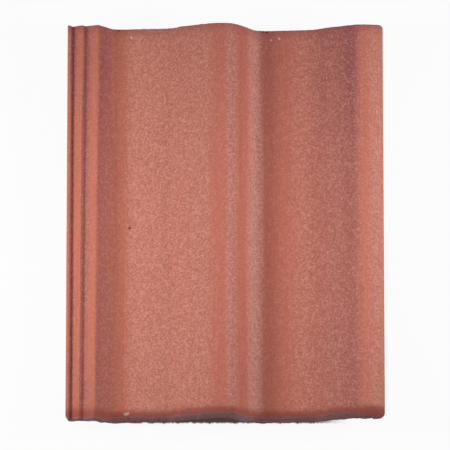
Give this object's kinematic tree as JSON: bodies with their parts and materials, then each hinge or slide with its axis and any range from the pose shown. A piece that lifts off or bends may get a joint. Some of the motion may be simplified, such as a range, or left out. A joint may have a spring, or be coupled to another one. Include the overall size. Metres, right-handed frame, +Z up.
{
  "type": "roof tile",
  "caption": "Wavy interlocking concrete roof tile with a ribbed side lock, an overlapping free edge, a rounded foot, and hanging nibs and weather bars underneath.",
  "frame": {"origin": "middle of the tile's footprint on the floor that it lies on", "axes": "+X from the ribbed side lock to the free overlapping edge, +Y from the rounded foot to the cut head, +Z up"},
  "size_m": [0.33, 0.4208, 0.0625],
  "materials": {
    "tile": "matt red-brown through-coloured concrete with a fine sandy grain"
  },
  "bodies": {
    "root": {"roof_tile": "tile"}
  },
  "joints": []
}
